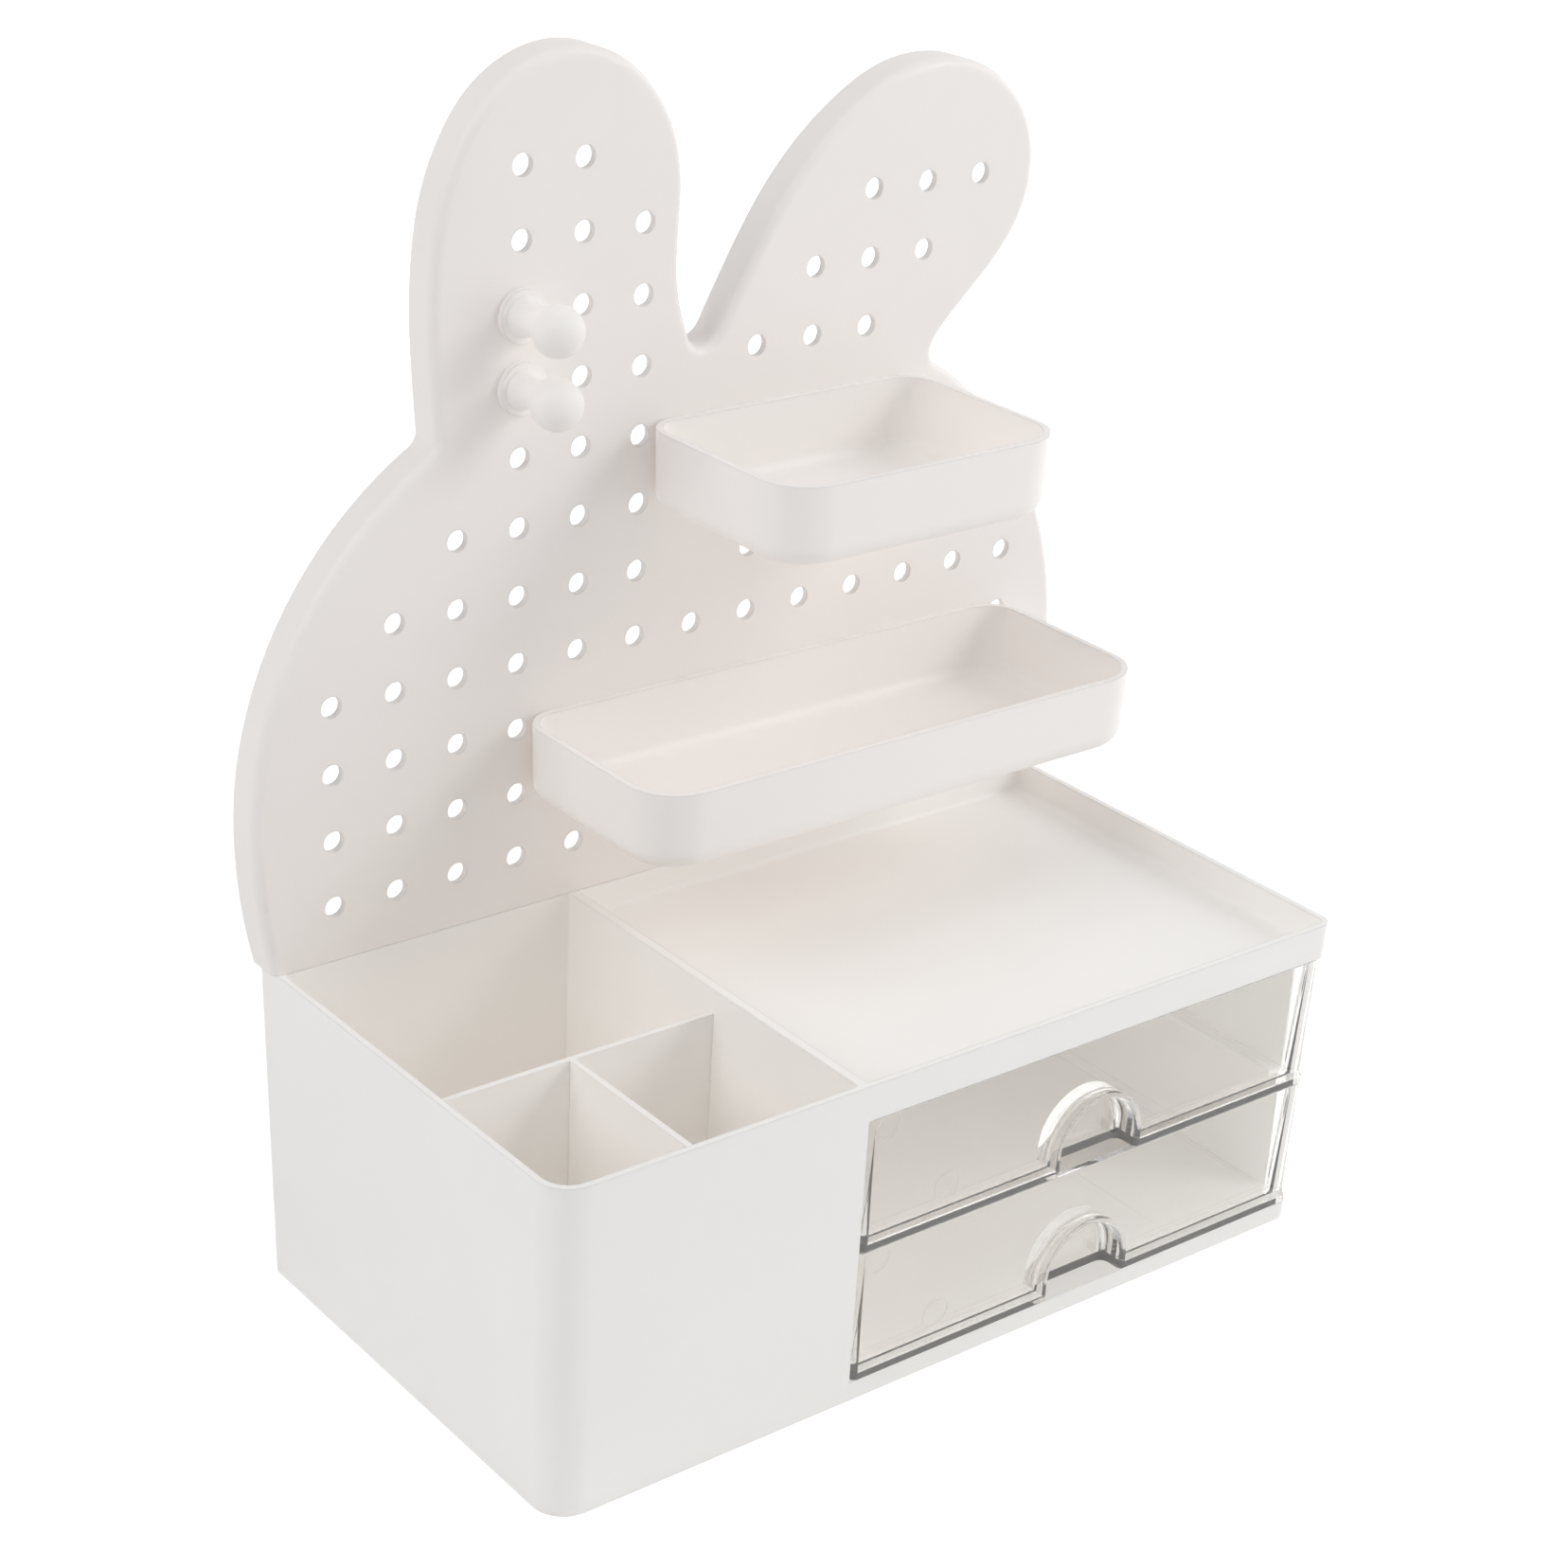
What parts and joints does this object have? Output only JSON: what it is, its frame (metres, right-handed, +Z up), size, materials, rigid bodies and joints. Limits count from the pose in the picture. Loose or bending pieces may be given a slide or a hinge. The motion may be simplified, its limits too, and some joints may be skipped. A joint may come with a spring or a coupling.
{
  "type": "pegboard desk organizer with drawers",
  "caption": "Desk organizer: open pen bays, clear pull-out drawers under a shallow tray top, and an upright pegboard with ear-shaped lobes that carries plug-in trays and knobs.",
  "frame": {"origin": "centre of the footprint on the desk, midway between left and right, front and back", "axes": "+Z up, the drawers face -Y, +X to the right seen from the front"},
  "size_m": [0.289, 0.1488, 0.3475],
  "materials": {
    "white_plastic": "satin moulded",
    "clear_plastic": "clear moulded polystyrene"
  },
  "bodies": {
    "base": {"base_body": "white_plastic", "pegboard_panel": "white_plastic"},
    "drawer_upper": {"drawer_upper": "clear_plastic"},
    "drawer_lower": {"drawer_lower": "clear_plastic"},
    "small_tray": {"small_tray": "white_plastic"},
    "long_tray": {"long_tray": "white_plastic"},
    "knob_peg_upper": {"knob_peg_upper": "white_plastic"},
    "knob_peg_lower": {"knob_peg_lower": "white_plastic"}
  },
  "joints": [
    {"name": "drawer_upper_slide", "type": "slide", "parent": "base", "child": "drawer_upper", "axis": [0, -1, 0], "range_m": [0, 0.11]},
    {"name": "drawer_lower_slide", "type": "slide", "parent": "base", "child": "drawer_lower", "axis": [0, -1, 0], "range_m": [0, 0.11]},
    {"name": "small_tray_pull_off", "type": "slide", "parent": "base", "child": "small_tray", "axis": [0, -1, 0], "range_m": [0, 0.03]},
    {"name": "long_tray_pull_off", "type": "slide", "parent": "base", "child": "long_tray", "axis": [0, -1, 0], "range_m": [0, 0.03]},
    {"name": "knob_peg_upper_pull_off", "type": "slide", "parent": "base", "child": "knob_peg_upper", "axis": [0, -1, 0], "range_m": [0, 0.03]},
    {"name": "knob_peg_lower_pull_off", "type": "slide", "parent": "base", "child": "knob_peg_lower", "axis": [0, -1, 0], "range_m": [0, 0.03]}
  ]
}
